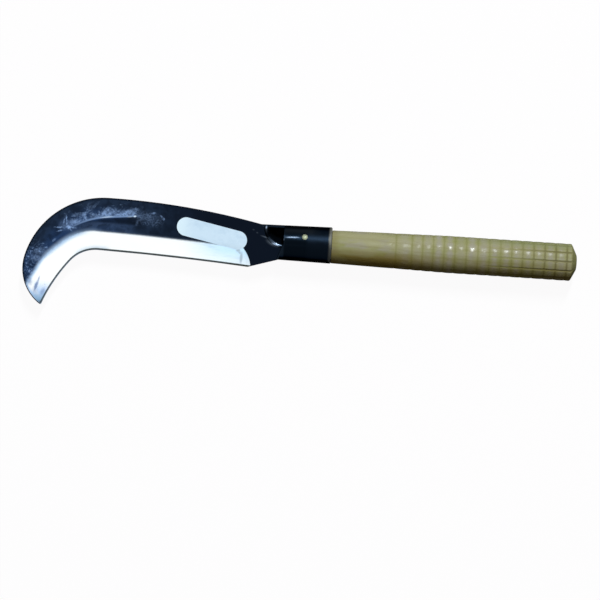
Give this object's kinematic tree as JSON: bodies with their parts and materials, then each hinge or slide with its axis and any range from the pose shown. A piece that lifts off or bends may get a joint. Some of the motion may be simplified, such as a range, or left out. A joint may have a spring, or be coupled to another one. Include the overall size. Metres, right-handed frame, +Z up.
{
  "type": "billhook",
  "caption": "Hooked pruning tool: flat steel blade with a ground inner edge, rolled socket, turned wooden grip held by a nail.",
  "frame": {"origin": "middle of the bounding box in X and Y, on the bench that the grip rests on in Z", "axes": "+X along the grip from the hook to the butt, +Y toward the blade's back, +Z up from the bench, square to the blade's face"},
  "size_m": [0.4805, 0.0958, 0.0325],
  "materials": {
    "blade_steel": "black coated steel with a blue sheen, bevel ground bright",
    "socket_steel": "gloss black coating",
    "weld_steel": "gloss black coating over the bead",
    "grip_wood": "pale lacquered wood",
    "nail_brass": "plain domed head"
  },
  "bodies": {
    "root": {"blade": "blade_steel", "socket": "socket_steel", "weld": "weld_steel", "handle": "grip_wood", "nail": "nail_brass"}
  },
  "joints": []
}
